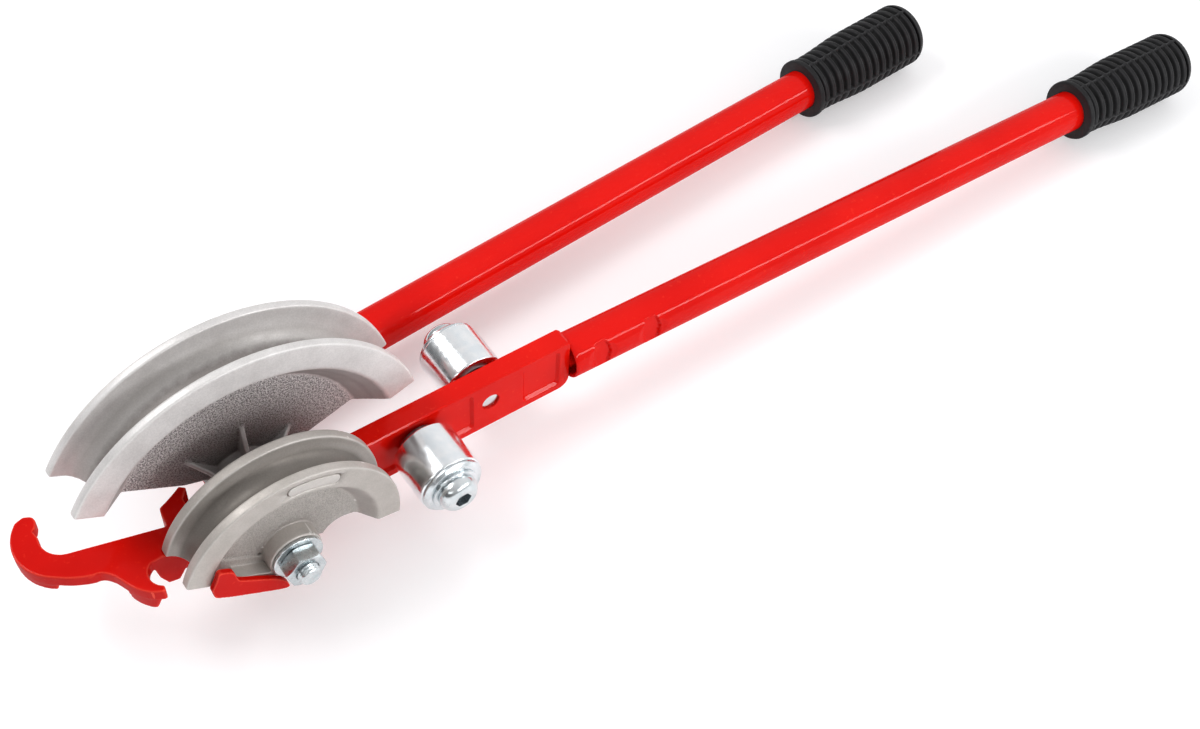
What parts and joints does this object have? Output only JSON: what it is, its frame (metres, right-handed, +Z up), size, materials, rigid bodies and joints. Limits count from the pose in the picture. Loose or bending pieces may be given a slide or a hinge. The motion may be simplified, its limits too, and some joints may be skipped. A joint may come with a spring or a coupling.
{
  "type": "tube bender",
  "caption": "Hand tube bender with two grooved bending formers, a hook casting and a swinging lever with forming rollers and long gripped handles.",
  "frame": {"origin": "on the ground straight below the pivot axis, on the resting face of the head's foot", "axes": "+X along the handles away from the head, +Y from the small former to the large former along the pivot axis, +Z up"},
  "size_m": [0.7706, 0.1838, 0.139],
  "materials": {
    "red_paint": "gloss",
    "cast_aluminium": "blasted casting",
    "bright_zinc": "bright zinc plating",
    "plain_steel": "plain turned",
    "black_rubber": "moulded satin"
  },
  "bodies": {
    "head": {"hook_frame": "red_paint", "large_former": "cast_aluminium", "small_former": "cast_aluminium", "pivot_bolt": "bright_zinc", "pivot_nut": "bright_zinc", "nut_washer": "bright_zinc", "head_washer": "bright_zinc", "pivot_bush": "plain_steel", "fixed_tube": "red_paint", "fixed_grip": "black_rubber"},
    "lever": {"lever_bar": "red_paint", "lever_tube": "red_paint", "lever_grip": "black_rubber", "near_roller_spacer": "plain_steel", "near_roller_bush": "plain_steel", "near_retaining_ring": "bright_zinc", "near_screw_washer": "bright_zinc", "near_roller_screw": "bright_zinc", "far_roller_spacer": "plain_steel", "far_roller_bush": "plain_steel", "far_retaining_ring": "bright_zinc", "far_screw_washer": "bright_zinc", "far_roller_screw": "bright_zinc"},
    "near_roller": {"near_roller": "bright_zinc"},
    "far_roller": {"far_roller": "bright_zinc"}
  },
  "joints": [
    {"name": "lever_hinge", "type": "hinge", "parent": "head", "child": "lever", "pos_m": [0, 0, 0.043], "axis": [0, -1, 0], "range_deg": [0, 135]},
    {"name": "near_roller_spin", "type": "hinge", "parent": "lever", "child": "near_roller", "pos_m": [0.0845, -0.0248, 0.0395], "axis": [0, 1, 0], "continuous": true},
    {"name": "far_roller_spin", "type": "hinge", "parent": "lever", "child": "far_roller", "pos_m": [0.1285, 0.0227, 0.0394], "axis": [0, 1, 0], "continuous": true}
  ]
}
